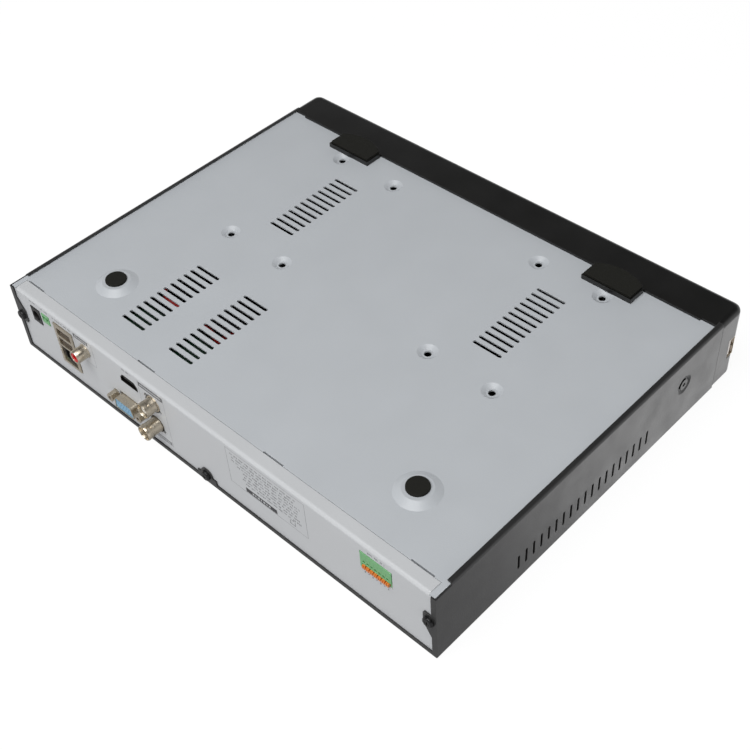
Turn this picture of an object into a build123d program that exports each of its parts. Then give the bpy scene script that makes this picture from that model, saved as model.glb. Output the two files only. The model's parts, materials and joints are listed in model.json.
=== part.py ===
from build123d import *
import math
import os

# A desktop video recorder with bays for two 3.5 inch drives.
# Millimetres.  +Z up, +Y towards the rear panel, +X to the right seen from the front.
# The origin is on the surface it stands on, under the middle of its bounding box.

# ---- driving dimensions -------------------------------------------------------
case_width = 330.0
case_depth = 252.5        # rear face to the front of the chin
case_rise = 48.0          # bottom plate's outer face to the top of the cover
foot_height = 4.3         # surface it stands on to the bottom plate's outer face
connector_reach = 10.0    # BNC jacks, past the rear face
sheet = 1.0               # chassis and rear panel
cover_sheet = 0.8
bend_inner = 1.1            # inside radius of the rear panel's bend
cover_rim = 2.3             # width of the cover's rear flange at the top
cover_side_rim = 3.2        # and at the sides
lip_drop = 1.5            # cover and bezel hang this far below the plate
lip_radius = 2.2
bezel_back = 232.0        # seam between cover and bezel, ahead of the rear face
bezel_wall = 1.8
chin_top = 19.5
face_setback = 1.7        # upper face behind the chin
plate_half = 163.9
joggle_half = 160.4
joggle_depth = 8.4

drive_hole_x = 44.45      # bottom hole spacing of a 3.5 inch drive
drive_hole_y = 95.25
drive_centre_x = 79.0
drive_row_near = 115.0    # nearer row of holes, ahead of the rear face
drive_hole_r = 2.1

rear_foot_x = 116.9
rear_foot_in = 40.7
rear_foot_r = 6.25
rear_foot_thick = 1.5
front_foot_x = 100.0
front_foot_back = 214.6
block_drop = 3.0

slot_pitch = 5.0
slots_per_group = 12
slot_width = 2.2
side_slot_pitch = 5.95
side_slots = 19
side_slot_first = 59.2
side_screw_in = 198.2
side_screw_up = 18.3
ear_screw_x = 160.5
ear_screw_up = 20.5
top_screw_up = 42.1

board_low = 5.0
board_top = 6.6
board_left = -155.0
board_right = 21.0
board_deep = 44.0

dc_x, dc_up = -144.0, 12.1
pair_x, pair_up = -134.3, 9.8
stack_x, stack_up = -117.6, 21.65
rca_x, rca_up = -98.0, 11.8
hdmi_x, hdmi_up = -58.6, 10.9
vga_x, vga_up = -62.4, 30.0
vga_screw_half = 12.495
vga_reach = 5.2           # socket, past the rear face
bnc_x = -39.0
bnc_ups = (14.3, 30.0)
bnc_r = 4.8
terminal_x, terminal_low, terminal_high = 126.6, 6.6, 18.7
terminal_width = 20.2
pole_pitch = 2.54
poles = 7
lever_up = 16.9
wire_hole_up = 13.35
side_usb_in, side_usb_up = 245.7, 25.5
button_x, button_up, button_r = 134.0, 33.0, 4.5
stem_r = 1.5
ir_x = -128.0
lamp_xs = (-104.0, -94.0, -84.0, -74.0)
face_mid_up = 33.0

rear_y = (case_depth - connector_reach) / 2
plate_z = foot_height
face_in = case_depth - face_setback


# ---- helpers ------------------------------------------------------------------
def block(x0, x1, in0, in1, up0, up1):
    """Box between two X values, two distances ahead of the rear face and two heights over the plate."""
    centre = Pos((x0 + x1) / 2, rear_y - (in0 + in1) / 2, plate_z + (up0 + up1) / 2)
    return centre * Box(x1 - x0, abs(in1 - in0), up1 - up0)


def rod_y(x, up, r, in0, in1):
    """Cylinder along Y."""
    place = Pos(x, rear_y - (in0 + in1) / 2, plate_z + up) * Rot(90, 0, 0)
    return place * Cylinder(r, abs(in1 - in0))


def rod_z(x, inward, r, up0, up1):
    """Cylinder along Z."""
    return Pos(x, rear_y - inward, plate_z + (up0 + up1) / 2) * Cylinder(r, up1 - up0)


def rod_x(inward, up, r, x0, x1):
    """Cylinder along X."""
    place = Pos((x0 + x1) / 2, rear_y - inward, plate_z + up) * Rot(0, 90, 0)
    return place * Cylinder(r, abs(x1 - x0))


def cone_z(x, inward, r_low, r_high, up0, up1):
    """Cone along Z, r_low at up0."""
    place = Pos(x, rear_y - inward, plate_z + (up0 + up1) / 2)
    return place * Cone(r_low, r_high, up1 - up0)


def slot_flat(x, inward, length, width, up0, up1):
    """Round-ended slot cutter, long in X, through the plate."""
    place = Pos(x, rear_y - inward, plate_z + up0)
    return place * extrude(SlotOverall(length, width), up1 - up0)


def pan_screw_y(x, up, head_in, head_r, head_high, shank_r, shank_long):
    """Pan-head screw driven forwards, with a cross recess.  head_in is the seat of the head."""
    head = rod_y(x, up, head_r, head_in - head_high, head_in)
    rim = head.edges().filter_by(GeomType.CIRCLE).sort_by(Axis.Y)[-1]
    head = fillet(rim, head_high * 0.5)
    crown = head_in - head_high
    cross = block(x - 1.5, x + 1.5, crown - 0.1, crown + 0.9, up - 0.35, up + 0.35)
    cross += block(x - 0.35, x + 0.35, crown - 0.1, crown + 0.9, up - 1.5, up + 1.5)
    return head - cross + rod_y(x, up, shank_r, head_in, head_in + shank_long)


def pan_screw_z(x, inward, seat_up, head_r, head_high, shank_r, shank_long):
    """Pan-head screw driven downwards, with a cross recess."""
    head = rod_z(x, inward, head_r, seat_up, seat_up + head_high)
    rim = head.edges().filter_by(GeomType.CIRCLE).sort_by(Axis.Z)[-1]
    head = fillet(rim, head_high * 0.45)
    top = seat_up + head_high
    cross = block(x - 1.4, x + 1.4, inward - 0.3, inward + 0.3, top - 0.8, top + 0.1)
    cross += block(x - 0.3, x + 0.3, inward - 1.4, inward + 1.4, top - 0.8, top + 0.1)
    return head - cross + rod_z(x, inward, shank_r, seat_up - shank_long, seat_up)


def save(name, shape):
    """Writes one node's solids."""
    shape.label = name
    export_step(shape, f"parts/{name}.step")


# ---- sheet metal --------------------------------------------------------------
def bottom_vents():
    """Four groups of slots: X centre, slot length and first row of each."""
    groups = ((-83.5, 19.2, 26.2), (-42.8, 19.2, 26.2), (-79.9, 19.3, 137.0), (79.7, 19.6, 137.0))
    cutters = []
    for x, length, first in groups:
        for row in range(slots_per_group):
            cutters.append(slot_flat(x, first + row * slot_pitch, length, slot_width, -1, 3))
    return cutters


def drive_holes():
    """X and distance ahead of the rear face of the eight drive holes."""
    for side in (-1, 1):
        for column in (-0.5, 0.5):
            for row in (0, 1):
                x = side * drive_centre_x + column * drive_hole_x
                yield x, drive_row_near + row * drive_hole_y


def make_bottom_chassis():
    depth = bezel_back - 1.0
    plate = block(-plate_half, plate_half, 0, depth, 0, sheet)
    plate -= block(-joggle_half, joggle_half, -1, joggle_depth, -1, sheet + 1)
    plate += block(-joggle_half + 1, joggle_half - 1, 2.4, joggle_depth + 2.4, sheet, 2 * sheet)
    for x in (-151.4, -51.0, 48.9, 148.9):
        plate -= block(x - 7.2, x + 7.2, joggle_depth - 0.2, joggle_depth + 0.8, -1, 2 * sheet + 0.1)
    for side in (-1, 1):
        inner = side * (plate_half - sheet)
        outer = side * plate_half
        plate += block(min(inner, outer), max(inner, outer), 2.0, 229.0, sheet, 24.0)
    plate += block(-plate_half + sheet, plate_half - sheet, 228.0, 229.0, sheet, 44.0)
    plate += block(-150, 150, 222.0, 228.0, 43.0, 44.0)

    # front wall: harness windows and bezel hook slots
    for x, half in ((-60, 30), (60, 30), (0, 12)):
        plate -= block(x - half, x + half, 227, 230, 14, 32)
    for x in hook_xs():
        plate -= block(x - 5, x + 5, 227, 230, 35.5, 40.5)

    # dished drive holes, formed inwards
    for x, inward in drive_holes():
        plate += cone_z(x, inward, 6.3, 4.0, sheet, 2.8)
        plate -= cone_z(x, inward, 5.9, 3.2, -0.01, 1.8)
        plate -= rod_z(x, inward, drive_hole_r, 0, 4)

    # rear foot seats, formed outwards
    drop = foot_height - rear_foot_thick
    for x in (-rear_foot_x, rear_foot_x):
        plate += cone_z(x, rear_foot_in, 8.3, 12.6, -drop, 0)
        plate -= cone_z(x, rear_foot_in, 7.4, 12.2, sheet - drop, sheet + 0.01)
        plate -= rod_z(x, rear_foot_in, 2.1, -drop - 1, 2)

    # side screw seats, formed inwards, and their tapped holes
    for side in (-1, 1):
        wall = side * plate_half
        inner = side * (plate_half - sheet)
        plate += rod_x(side_screw_in, side_screw_up, 7.3, inner, inner - side * 0.3)
        plate -= rod_x(side_screw_in, side_screw_up, 6.5, wall + side, inner + side * 0.2)
        plate -= rod_x(side_screw_in, side_screw_up, 1.3, wall, inner - side * 3)
    for cutter in bottom_vents():
        plate -= cutter
    return plate


def make_rear_panel():
    panel = block(-plate_half + 0.3, plate_half - 0.3, 0, sheet, sheet + 0.05, 46.6)
    panel += block(-joggle_half + 0.2, joggle_half - 0.2, 0, sheet, 0, sheet + 0.05)
    panel += block(-joggle_half + 0.2, joggle_half - 0.2, 0, joggle_depth - 0.2, 0, sheet)
    bend = Vector(0, rear_y - sheet, plate_z + sheet)
    hollow = panel.edges().filter_by(Axis.X).sort_by(lambda e: (e.center() - bend).length)[0]
    panel = fillet(hollow, bend_inner)
    corner = panel.edges().filter_by(Axis.X).sort_by(lambda e: e.center().Z - e.center().Y)[0]
    panel = fillet(corner, bend_inner + sheet)

    def window(x, up, wide, high):
        return block(x - wide / 2, x + wide / 2, -1, 2, up - high / 2, up + high / 2)

    panel -= window(dc_x, dc_up, 8.8, 11.4)
    panel -= window(pair_x, pair_up, 7.6, 7.0)
    panel -= window(stack_x, stack_up, 18.0, 30.8)
    panel -= rod_y(rca_x, rca_up, 4.6, -1, 2)
    front = Plane(origin=(hdmi_x, rear_y + 1, plate_z + hdmi_up), x_dir=(1, 0, 0), z_dir=(0, -1, 0))
    panel -= extrude(front * offset(hdmi_outline(), amount=0.15), 3)
    panel -= window(vga_x, vga_up, 17.8, 9.4)
    for side in (-1, 1):
        panel -= rod_y(vga_x + side * vga_screw_half, vga_up, 2.9, -1, 2)
    for up, gap in zip(bnc_ups, (1.2, 0.8)):
        panel -= rod_y(bnc_x, up, bnc_r + gap, -1, 2)
        for side in (-1, 1):
            lobe = math.radians(36)
            x = bnc_x + side * 5.7 * math.cos(lobe)
            panel -= rod_y(x, up + side * 5.7 * math.sin(lobe), 1.8, -1, 2)
    terminal_mid = (terminal_low + terminal_high) / 2
    panel -= window(terminal_x, terminal_mid, terminal_width + 0.6, terminal_high - terminal_low + 0.6)
    for x, up in ear_screws():
        panel -= rod_y(x, up, 1.5, -1, 2)
    return panel


def ear_screws():
    """X and height of the three screws through the cover's rear ears."""
    return ((-ear_screw_x, ear_screw_up), (0.0, top_screw_up), (ear_screw_x, ear_screw_up))


def ear_outline(side):
    """Side ear: square at one end, running out at a slant at the other."""
    edge = case_width / 2 - cover_side_rim + 0.2
    tip = ear_screw_x - 3.9
    low, high = ear_screw_up - 5.0, ear_screw_up + 4.0
    run = high + 9.0
    if side < 0:
        low, high = ear_screw_up + 5.0, ear_screw_up - 4.0
        run = high - 9.0
    shape = Polyline((edge, low), (tip, low), (tip, high), (edge, run), (edge, low))
    return [(side * p.X, p.Y) for p in (v.center() for v in shape.vertices())]


def make_top_cover():
    half = case_width / 2
    mid = (case_rise - lip_drop) / 2
    tall = case_rise + lip_drop

    def section(inset, top_r, low_r):
        face = Pos(0, mid) * Rectangle(2 * (half - inset), tall - 2 * inset)
        corners = face.vertices().sort_by(Axis.Y)
        face = fillet(corners[-2:], top_r)
        corners = face.vertices().sort_by(Axis.Y)[:2]
        return fillet(corners, low_r)

    profile = section(0, 1.2, lip_radius) - section(cover_sheet, 0.4, lip_radius - cover_sheet)
    profile -= Pos(0, 0) * Rectangle(2 * (half - 3.0), 10)
    upright = Plane(origin=(0, rear_y + 0.9, plate_z), x_dir=(1, 0, 0), z_dir=(0, -1, 0))
    shell = extrude(upright * profile, bezel_back - 0.2 + 0.9)

    # rear flange, with two side ears and one top ear
    inner_top = case_rise - cover_rim
    clear = Rectangle(2 * (half - cover_side_rim), inner_top + 7)
    flange = section(0, 1.2, lip_radius) - Pos(0, (inner_top - 7) / 2) * clear
    flange -= Pos(0, -2.5) * Rectangle(2 * half + 2, 5.6)
    for side in (-1, 1):
        ear = make_face(Polyline(*ear_outline(side), close=True))
        tips = ear.vertices().sort_by(lambda v: abs(v.X))[:2]
        flange += fillet(tips, 1.6)
    flange += Pos(0, 44.9) * Rectangle(15, 4.6) + Pos(0, top_screw_up) * Circle(4.6)
    for x, up in ear_screws():
        flange -= Pos(x, up) * Circle(1.7)
    shell += extrude(upright * flange, cover_sheet)

    # the lip stops short of the rear face
    shell -= block(-half - 1, half + 1, -2, 10.5, -3, 0.1)
    shell -= block(-half + cover_sheet, half - cover_sheet, 0, 10.5, -3, 2)

    for side in (-1, 1):
        wall = side * half
        inner = side * (half - cover_sheet)
        seat = Pos(inner - side * 0.5, rear_y - side_screw_in, plate_z + side_screw_up) * Rot(0, side * 90, 0)
        dish = Pos(wall - side * 0.5, rear_y - side_screw_in, plate_z + side_screw_up) * Rot(0, side * 90, 0)
        shell += seat * Cone(4.4, 6.0, 1.0)
        shell -= dish * Cone(3.9, 6.2, 1.01)
        shell -= rod_x(side_screw_in, side_screw_up, 1.7, wall + side, inner - side * 2)
        for index in range(side_slots):
            inward = side_slot_first + index * side_slot_pitch
            slot = extrude(SlotOverall(10.4, 1.7), 4, both=True)
            shell -= Pos(wall, rear_y - inward, plate_z + 33.4) * Rot(0, 90, 0) * slot
    return shell


# ---- front --------------------------------------------------------------------
def hook_xs():
    """X of the bezel's four snap hooks."""
    return (-125.0, -20.0, 20.0, 105.0)


def foot_outline(grow):
    """D shape of a front foot, straight at the rear, seen in the XY plane around its middle."""
    half = 15.7 + grow
    back = -front_foot_back - 1.0 + grow
    shoulder = back - 11.0 - grow
    nose = back - 16.0 - 2 * grow
    line = Line((-half, back), (half, back))
    right = Line((half, back), (half, shoulder))
    curve = ThreePointArc((half, shoulder), (0, nose), (-half, shoulder))
    left = Line((-half, shoulder), (-half, back))
    return make_face([line, right, curve, left])


def foot_solid(side, grow, up0, up1):
    place = Pos(side * front_foot_x, rear_y, plate_z + up0)
    solid = place * extrude(foot_outline(grow), up1 - up0)
    return solid


def bezel_outer():
    half = case_width / 2
    chin = block(-half, half, bezel_back, case_depth, -lip_drop, chin_top)
    chin = fillet(chin.edges().filter_by(Axis.Z).sort_by(Axis.Y)[:2], 5.5)
    low_rim = chin.faces().sort_by(Axis.Z)[0].edges().sort_by(Axis.Y)[:-1]
    low_rim = [e for e in low_rim if e.center().Y < rear_y - bezel_back - 0.1]
    front_only = [e for e in low_rim if e.center().Y < rear_y - case_depth + 5]
    chin = fillet(front_only, 3.6)
    upper = block(-half, half, bezel_back, face_in, chin_top, case_rise)
    upper = fillet(upper.edges().filter_by(Axis.Z).sort_by(Axis.Y)[:2], 5.0)
    rim = upper.faces().sort_by(Axis.Z)[-1].edges()
    rim = [e for e in rim if e.center().Y < rear_y - bezel_back - 0.1]
    upper = fillet(rim, 3.4)
    return chin + upper


def make_front_bezel():
    half = case_width / 2
    body = bezel_outer()
    inside_front = face_in - bezel_wall
    room = block(-half + bezel_wall, half - bezel_wall, bezel_back - 1, inside_front, 0.4, case_rise - 2.6)
    room = fillet(room.edges().filter_by(Axis.Z).sort_by(Axis.Y)[:2], 3.2)
    body -= room
    # lap over the front of the bottom plate, stepped back at both ends
    body += block(-152.7, 152.7, 227.5, bezel_back + 1, -lip_drop, 0)
    body += block(-161.8, 161.8, 228.6, bezel_back + 1, -lip_drop, 0)
    for side in (-1, 1):
        body += foot_solid(side, 1.0, -block_drop, 0)
        body -= block(side * front_foot_x - 20, side * front_foot_x + 20, bezel_back - 0.9, 240, 0, 0.4)

    # recess for the fascia and the openings behind it
    body -= block(-150, 150, face_in - 1.2, face_in + 1, 22.5, 44.0)
    body -= rod_y(button_x, button_up, button_r + 0.35, inside_front - 1, face_in)
    body -= block(ir_x - 7, ir_x + 7, inside_front - 1, face_in, face_mid_up - 4, face_mid_up + 4)
    for x in lamp_xs:
        body -= rod_y(x, face_mid_up, 1.3, inside_front - 1, face_in)

    # side port window, port shelf, board posts and snap hooks
    usb_low, usb_high = side_usb_up - 6.9, side_usb_up + 6.9
    body -= block(half - 5, half + 1, side_usb_in - 3.1, side_usb_in + 3.1, usb_low, usb_high)
    for x in front_board_posts():
        post = rod_y(x, 40.5, 2.6, 239.2, inside_front + 0.1)
        body += post - rod_y(x, 40.5, 1.15, 238, 246)
    for x in hook_xs():
        body += block(x - 4, x + 4, 226.0, 249.0, 38.4, 40.0)
        body += block(x - 4, x + 4, 226.0, 227.7, 37.0, 38.4)
        body += block(x - 4, x + 4, 236.0, 249.0, 40.0, case_rise - 2.5)
    return body


def front_board_posts():
    """X of the two screws that hold the front board."""
    return (-140.0, 146.0)


def make_front_fascia():
    face = block(-149.8, 149.8, face_in - 1.2, face_in, 22.7, 43.8)
    face -= rod_y(button_x, button_up, button_r + 0.35, face_in - 3, face_in + 1)
    face -= block(ir_x - 6, ir_x + 6, face_in - 3, face_in + 1, face_mid_up - 3, face_mid_up + 3)
    for x in lamp_xs:
        face -= rod_y(x, face_mid_up, 1.05, face_in - 3, face_in + 1)
    return face


def make_ir_window():
    window = block(ir_x - 5.9, ir_x + 5.9, face_in - 1.2, face_in, face_mid_up - 2.9, face_mid_up + 2.9)
    low, high = face_mid_up - 3.8, face_mid_up + 3.8
    return window + block(ir_x - 6.8, ir_x + 6.8, face_in - 2.8, face_in - 1.2, low, high)


def make_light_pipes():
    pipes = []
    for x in lamp_xs:
        pipe = rod_y(x, face_mid_up, 0.95, 240.2, face_in)
        pipes.append(pipe)
    return Compound(children=pipes)


def make_power_button():
    """Cap, collar behind the wall, and the stem that presses the switch."""
    front = face_in + 0.7
    cap = rod_y(button_x, button_up, button_r, face_in - 1.9, front)
    rim = cap.edges().filter_by(GeomType.CIRCLE).sort_by(Axis.Y)[0]
    cap = fillet(rim, 0.5)
    cap -= rod_y(button_x, button_up, button_r - 1.4, front - 0.25, front + 1)
    collar = rod_y(button_x, button_up, button_r + 1.0, face_in - 3.0, face_in - 1.9)
    stem = rod_y(button_x, button_up, stem_r, 241.9, face_in - 3.0)
    return cap + collar + stem


def make_front_board():
    board = block(-144, 150, 237.6, 239.2, 26.5, 43.5)
    for x in front_board_posts():
        board -= rod_y(x, 40.5, 1.3, 236, 241)
    for x in hook_xs():
        board -= block(x - 4.6, x + 4.6, 236, 241, 37.5, 44)
    return board


def make_front_board_parts():
    """Switch body, infrared receiver, four lamps and the header on the front board."""
    switch = block(button_x - 3, button_x + 3, 239.2, 241.0, button_up - 3, button_up + 3)
    receiver = block(ir_x - 3, ir_x + 3, 239.2, 244.0, face_mid_up - 3.5, face_mid_up + 3.5)
    receiver += Pos(ir_x, rear_y - 244.0, plate_z + face_mid_up) * Sphere(2.4)
    header = block(-66, -50, 234.2, 237.6, 28.0, 33.5)
    lamps = [block(x - 1.0, x + 1.0, 239.2, 240.1, face_mid_up - 0.7, face_mid_up + 0.7) for x in lamp_xs]
    return Compound(children=[switch, receiver, header] + lamps)


def make_side_usb():
    """Shell and tongue of the upright USB-A port in the right side of the bezel."""
    half = case_width / 2
    mid_in, mid_up = side_usb_in, side_usb_up
    shell = block(half - 14.5, half - 0.2, mid_in - 2.9, mid_in + 2.9, mid_up - 6.6, mid_up + 6.6)
    shell -= block(half - 13.9, half + 1, mid_in - 2.6, mid_in + 2.6, mid_up - 6.25, mid_up + 6.25)
    tongue = block(half - 13.9, half - 0.7, mid_in - 2.5, mid_in - 0.3, mid_up - 5.6, mid_up + 5.6)
    return shell, tongue


# ---- rear connectors ----------------------------------------------------------
def make_dc_jack():
    body = block(dc_x - 4.2, dc_x + 4.2, -0.4, 13.8, board_top, board_top + 11)
    body -= rod_y(dc_x, dc_up + 0.2, 3.3, -1, 10)
    pin = rod_y(dc_x, dc_up + 0.2, 1.0, 0.9, 10)
    return body, pin


def make_pair_terminal():
    low = board_top
    body = block(pair_x - 3.5, pair_x + 3.5, -0.3, 8.0, low, low + 6.4)
    for side in (-1, 1):
        x = pair_x + side * 1.75
        body -= block(x - 1.2, x + 1.2, -1, 5, low + 1.4, low + 4.0)
        body -= block(x - 1.0, x + 1.0, 2.0, 6.0, low + 5.4, low + 7)
    return body


def make_port_stack():
    """Metal housing of two USB-A sockets over a network socket, and what sits inside."""
    low = stack_up - 15.05
    high = stack_up + 15.05
    shell = block(stack_x - 8.6, stack_x + 8.6, -0.7, 20.5, low, high)
    usb_ups = (low + 5.4, low + 12.6)
    for up in usb_ups:
        shell -= block(stack_x - 6.4, stack_x + 6.4, -1, 14, up - 2.65, up + 2.65)
    lan_up = high - 7.6
    shell -= block(stack_x - 6.4, stack_x + 6.4, -1, 14, lan_up - 5.9, lan_up + 5.9)
    tongues = [block(stack_x - 5.6, stack_x + 5.6, 0.4, 14, up + 0.45, up + 2.45) for up in usb_ups]
    insert = block(stack_x - 6.3, stack_x + 6.3, 0.4, 13.9, lan_up - 5.8, lan_up + 5.8)
    insert -= block(stack_x - 5.0, stack_x + 5.0, -1, 12.2, lan_up - 3.2, lan_up + 3.6)
    insert -= block(stack_x - 3.0, stack_x + 3.0, -1, 12.2, lan_up - 4.9, lan_up - 3.2)
    return shell, Compound(children=tongues), insert


def make_rca():
    body = rod_y(rca_x, rca_up, 4.15, -7.6, -0.3) + rod_y(rca_x, rca_up, 4.5, -0.3, 1.6)
    body -= rod_y(rca_x, rca_up, 3.65, -8, 1.0)
    housing = block(rca_x - 5.0, rca_x + 5.0, 1.6, 14, board_top, board_top + 11.5)
    insulator = rod_y(rca_x, rca_up, 3.55, -6.9, 1.0)
    insulator -= rod_y(rca_x, rca_up, 1.6, -8, 1.0)
    return body, housing, insulator


def hdmi_outline():
    """Outside of the HDMI shell, with its two lower corners cut off."""
    half, tall, cut = 7.2, 2.7, 2.3
    upper = ((-half, -0.1), (-half, tall), (half, tall), (half, -0.1))
    corners = upper + ((half - cut, -tall), (cut - half, -tall))
    return make_face(Polyline(*corners, close=True))


def make_hdmi():
    face = hdmi_outline()
    plane = Plane(origin=(hdmi_x, rear_y + 0.2, plate_z + hdmi_up), x_dir=(1, 0, 0), z_dir=(0, -1, 0))
    shell = extrude(plane * face, 12.0)
    shell -= extrude(plane * offset(face, amount=-0.4), 11.4)
    tongue = block(hdmi_x - 5.6, hdmi_x + 5.6, 0.8, 11.2, hdmi_up - 0.5, hdmi_up + 0.7)
    foot = block(hdmi_x - 4.6, hdmi_x + 4.6, 2, 11.8, board_top, hdmi_up - 2.7)
    return shell, tongue, foot


def d_outline(half, tall, slant):
    """Outline of a D-sub shell, wide edge up."""
    return Polyline((-half, tall), (half, tall), (half - slant, -tall), (-half + slant, -tall), close=True)


def make_vga():
    plane = Plane(origin=(vga_x, rear_y + vga_reach, plate_z + vga_up), x_dir=(1, 0, 0), z_dir=(0, -1, 0))
    outer = fillet(make_face(d_outline(8.4, 4.15, 1.3)).vertices(), 1.6)
    inner = offset(outer, amount=-0.45)
    shell = extrude(plane * outer, vga_reach + 1.4)
    shell -= extrude(plane * inner, vga_reach + 1.5)
    flange = block(vga_x - 15.4, vga_x + 15.4, 1.1, 1.9, vga_up - 6.2, vga_up + 6.2)
    flange -= extrude(plane * inner, vga_reach + 5)
    for side in (-1, 1):
        flange -= rod_y(vga_x + side * vga_screw_half, vga_up, 1.7, 0, 3)
    shell += flange
    core = extrude(plane * offset(outer, amount=-0.55), vga_reach + 1.4)
    core = Pos(0, -0.4, 0) * core
    for row, count in ((-1.98, 5), (0, 5), (1.98, 5)):
        for index in range(count):
            x = vga_x + (index - 2) * 2.29 + (0.57 if row else -0.57)
            core -= rod_y(x, vga_up + row, 0.45, -vga_reach - 1, -1)
    base = block(vga_x - 15.4, vga_x + 15.4, 2.0, 12.0, 15.0, vga_up + 6.2)
    base += block(vga_x - 8.0, vga_x + 8.0, 14.0, 18.0, board_top, vga_up + 2)
    base += block(vga_x - 8.0, vga_x + 8.0, 11.9, 14.1, 15.0, vga_up + 2)
    nuts = []
    for side in (-1, 1):
        x = vga_x + side * vga_screw_half
        spot = Plane(origin=(x, rear_y + vga_reach, plate_z + vga_up), x_dir=(1, 0, 0), z_dir=(0, -1, 0))
        nut = extrude(spot * RegularPolygon(2.75, 6, major_radius=True), vga_reach + 1.0)
        nut += rod_y(x, vga_up, 1.4, 1.0, 1.95)
        nut -= rod_y(x, vga_up, 1.2, -vga_reach - 1, 0.4)
        nuts.append(nut)
    return shell, core, base, Compound(children=nuts)


def make_bnc():
    """Two stacked coaxial jacks on one black block."""
    jacks, cores, contacts = [], [], []
    for up in bnc_ups:
        jack = rod_y(bnc_x, up, bnc_r, -connector_reach, 2.0)
        rim = jack.edges().filter_by(GeomType.CIRCLE).sort_by(Axis.Y)[-1]
        jack = fillet(rim, 0.4)
        lug_angle = math.radians(36)
        for side in (-1, 1):
            lug_x = bnc_x + side * 5.1 * math.cos(lug_angle)
            lug = Pos(lug_x, rear_y + 5.6, plate_z + up + side * 5.1 * math.sin(lug_angle))
            jack += lug * Rot(0, -side * math.degrees(lug_angle) * side, 0) * Box(2.0, 1.9, 1.9)
        jack -= rod_y(bnc_x, up, 4.1, -11, -1.0)
        if up == bnc_ups[0]:
            jack += rod_y(bnc_x, up, bnc_r + 0.5, 0.1, 2.0)
        jacks.append(jack)
        core = rod_y(bnc_x, up, 2.4, -6.0, -1.0)
        core -= rod_y(bnc_x, up, 1.0, -7, -1.0)
        cores.append(core)
        contacts.append(rod_y(bnc_x, up, 0.7, -5.4, -1.0))
    block_body = block(bnc_x - 7.5, bnc_x + 7.5, 2.0, 20.0, board_top, bnc_ups[1] + 7.5)
    return Compound(children=jacks), Compound(children=cores + contacts), block_body


def pole_x(index):
    return terminal_x + (index - (poles - 1) / 2) * pole_pitch


def make_terminal():
    """Push-in terminal block: a wire hole and a sprung lever for each pole."""
    half = terminal_width / 2
    body = block(terminal_x - half, terminal_x + half, -0.3, 12.0, terminal_low, terminal_high)
    body -= block(terminal_x - half + 1.2, terminal_x + half + 1, -1, 0.5, lever_up - 1.6, terminal_high + 1)
    levers = []
    for index in range(poles):
        x = pole_x(index)
        body -= rod_y(x, wire_hole_up, 0.95, -1, 8)
        body -= block(x - 1.05, x + 1.05, -1, 7.0, lever_up - 1.25, lever_up + 1.25)
        lever = block(x - 0.95, x + 0.95, -1.1, 4.4, lever_up - 1.15, lever_up + 1.15)
        lever -= block(x - 0.2, x + 0.2, -1.2, -0.7, lever_up - 1.2, lever_up + 1.2)
        levers.append(lever)
    return body, levers


# ---- boards and what stands on them -------------------------------------------
def board_posts():
    """X and distance ahead of the rear face of the main board's screws."""
    return ((-151.0, 40.0), (-70.0, 40.0), (17.0, 40.0), (-88.0, 5.0), (17.0, 5.0))


def make_main_board():
    board = block(board_left, board_right, 1.8, board_deep, board_low, board_top)
    for x, inward in board_posts():
        board -= rod_z(x, inward, 1.7, 0, 10)
    return board


def make_standoffs():
    posts = []
    for x, inward in board_posts():
        base = sheet if inward > joggle_depth + 6 else 2 * sheet
        post = Pos(x, rear_y - inward, plate_z + base) * extrude(RegularPolygon(3.0, 6), board_low - base)
        post -= rod_z(x, inward, 1.25, base - 1, board_low + 1)
        posts.append(post)
    for x in (terminal_x - 15, terminal_x + 15):
        post = Pos(x, rear_y - 24.0, plate_z + sheet) * extrude(RegularPolygon(3.0, 6), board_low - sheet)
        posts.append(post - rod_z(x, 24.0, 1.25, 0, board_low + 1))
    return Compound(children=posts)


def make_board_screws():
    screws = [pan_screw_z(x, inward, board_top, 2.7, 1.8, 1.2, 4.0) for x, inward in board_posts()]
    for x in (terminal_x - 15, terminal_x + 15):
        screws.append(pan_screw_z(x, 24.0, board_top, 2.7, 1.8, 1.2, 4.0))
    return Compound(children=screws)


def make_terminal_board():
    board = block(terminal_x - 20, terminal_x + 20, 1.8, 30, board_low, board_top)
    for x in (terminal_x - 15, terminal_x + 15):
        board -= rod_z(x, 24.0, 1.7, 0, 10)
    return board


def make_heat_sink():
    """Square base with eleven fins, on the main chip."""
    base = block(-20, 10, 12, 42 - 4, 10.1, 12.6)
    fins = [block(-20 + 2.9 * i, -19 + 2.9 * i, 12, 38, 12.6, 22.0) for i in range(11)]
    return base + fins


def make_chips():
    """Main chip, four memories, flash, network chip and the power controllers."""
    boxes = [block(-14, 4, 16, 34, board_top, 10.1)]
    for x in (-34, -23):
        boxes.append(block(x - 4.5, x + 4.5, 24, 37, board_top, board_top + 1.1))
    boxes.append(block(-100, -92, 30, 36, board_top, board_top + 1.6))
    boxes.append(block(-118, -109, 26, 35, board_top, board_top + 1.4))
    boxes.append(block(-146, -141, 22, 26, board_top, board_top + 1.5))
    boxes.append(block(-58, -53, 34, 38, board_top, board_top + 1.5))
    return Compound(children=boxes)


def make_capacitors():
    cans = []
    spots = (
        (-150.0, 20.5, 3.15), (-150.0, 29.0, 3.15), (-134.0, 16.0, 4.0),
        (-106.0, 38.0, 3.15), (-80.0, 22.0, 3.15),
    )
    for x, inward, r in spots:
        can = rod_z(x, inward, r, board_top, board_top + 7.5 + r)
        rim = can.edges().filter_by(GeomType.CIRCLE).sort_by(Axis.Z)[-1]
        cans.append(fillet(rim, 0.5))
    return Compound(children=cans)


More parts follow.
